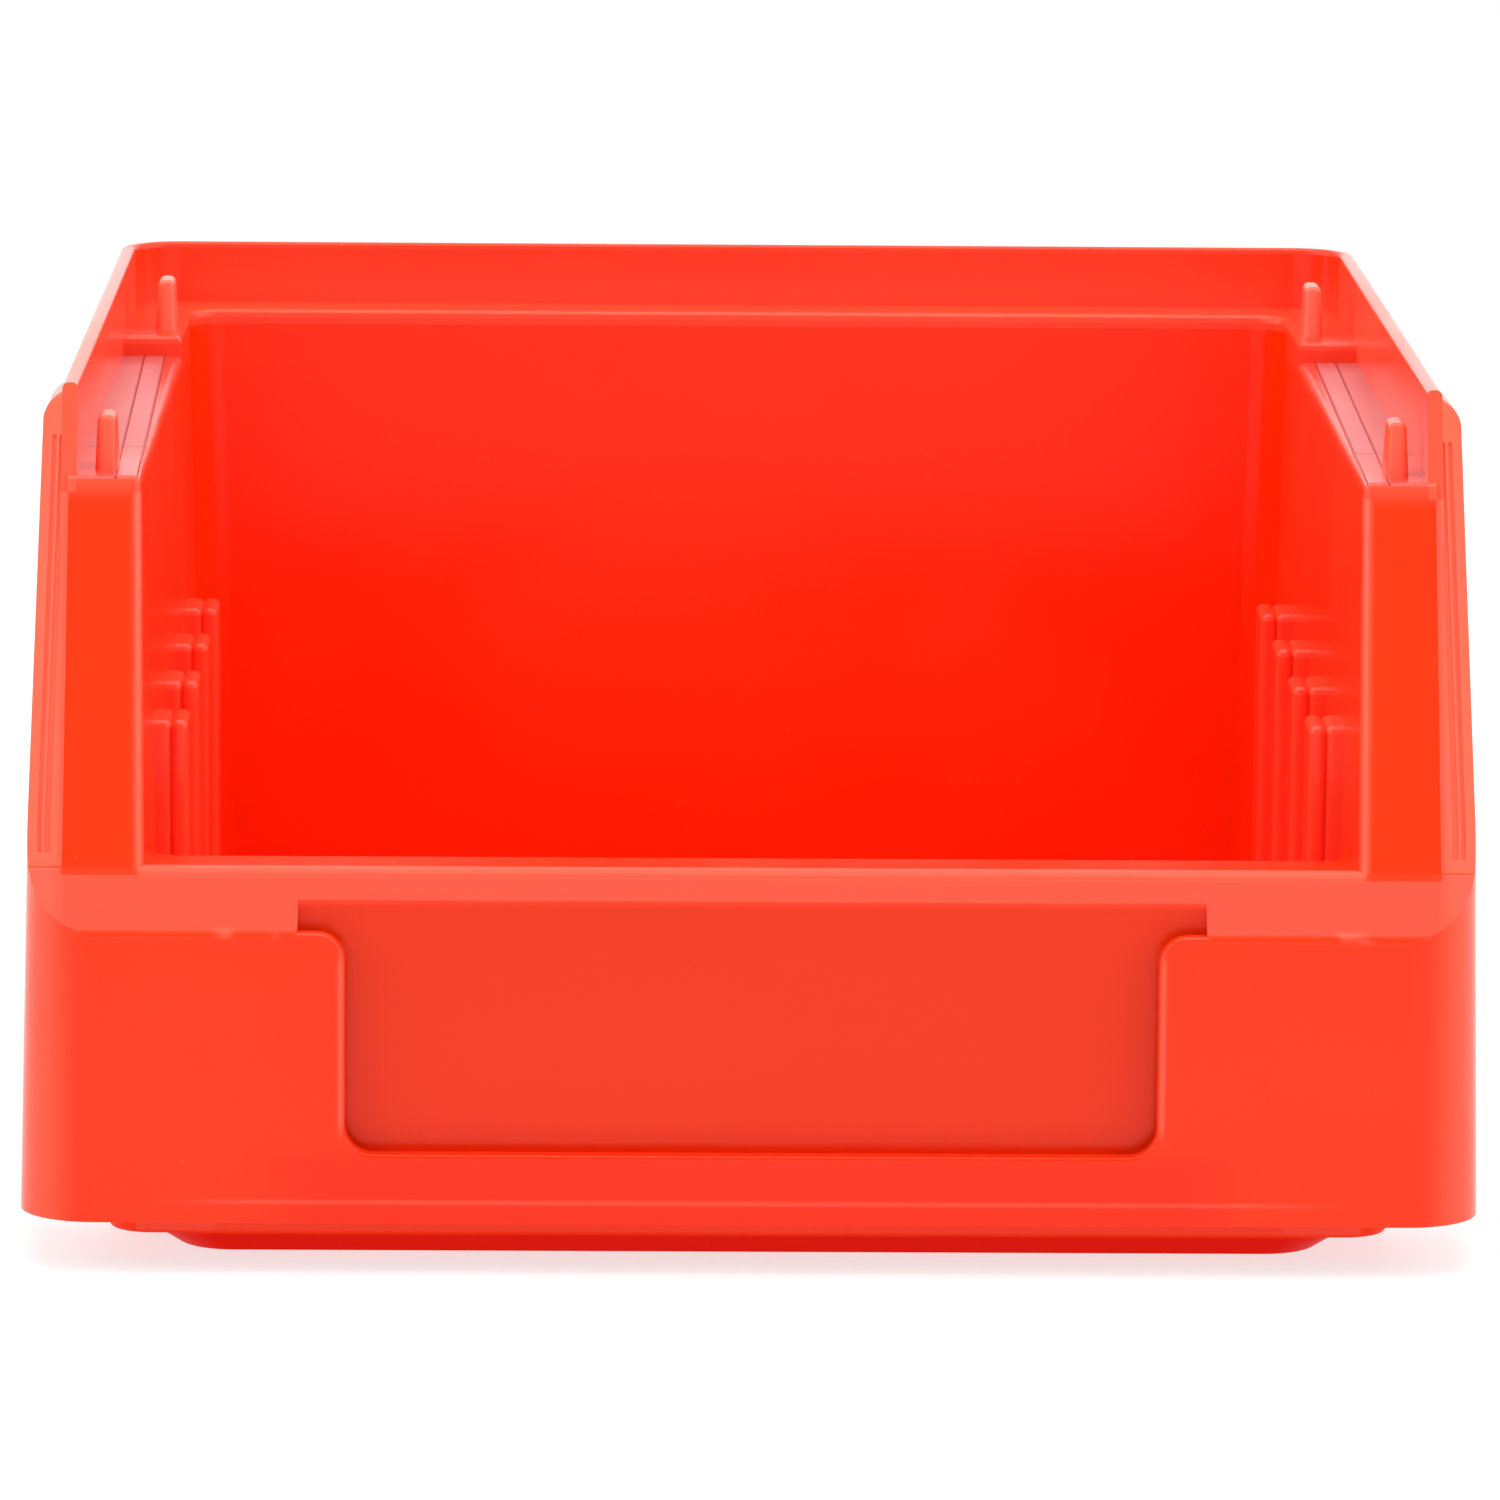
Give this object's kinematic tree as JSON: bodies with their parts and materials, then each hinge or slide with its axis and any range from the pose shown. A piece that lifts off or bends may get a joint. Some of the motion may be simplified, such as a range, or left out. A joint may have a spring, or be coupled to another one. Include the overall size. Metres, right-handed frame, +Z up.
{
  "type": "stackable storage bin",
  "caption": "Open-fronted stackable storage bin with a raised rim, stacking ledges with locating fins, a hanging lip at the back and a label holder in its sloping front lip.",
  "frame": {"origin": "centre of the bin's footprint, on the surface it stands on", "axes": "+X to the right for someone facing the open front, +Y from the front to the back, +Z up"},
  "size_m": [0.102, 0.1, 0.06],
  "materials": {
    "bin_plastic": "semi-gloss moulded polypropylene, coloured right through"
  },
  "bodies": {
    "root": {"floor": "bin_plastic", "front_panel": "bin_plastic", "front_lip": "bin_plastic", "front_wall": "bin_plastic", "back_fence": "bin_plastic", "hanging_lip": "bin_plastic", "back_ledge": "bin_plastic", "back_wall": "bin_plastic", "left_front_fin": "bin_plastic", "left_rear_fin": "bin_plastic", "left_resting_rail": "bin_plastic", "left_column_1": "bin_plastic", "left_column_2": "bin_plastic", "left_column_3": "bin_plastic", "left_column_4": "bin_plastic", "left_front_flange": "bin_plastic", "left_pillar": "bin_plastic", "left_front_corner": "bin_plastic", "left_fence": "bin_plastic", "left_ledge_front": "bin_plastic", "left_ledge": "bin_plastic", "left_rear_platform": "bin_plastic", "left_wall": "bin_plastic", "right_front_fin": "bin_plastic", "right_rear_fin": "bin_plastic", "right_resting_rail": "bin_plastic", "right_column_1": "bin_plastic", "right_column_2": "bin_plastic", "right_column_3": "bin_plastic", "right_column_4": "bin_plastic", "right_front_flange": "bin_plastic", "right_pillar": "bin_plastic", "right_front_corner": "bin_plastic", "right_fence": "bin_plastic", "right_ledge_front": "bin_plastic", "right_ledge": "bin_plastic", "right_rear_platform": "bin_plastic", "right_wall": "bin_plastic"}
  },
  "joints": []
}
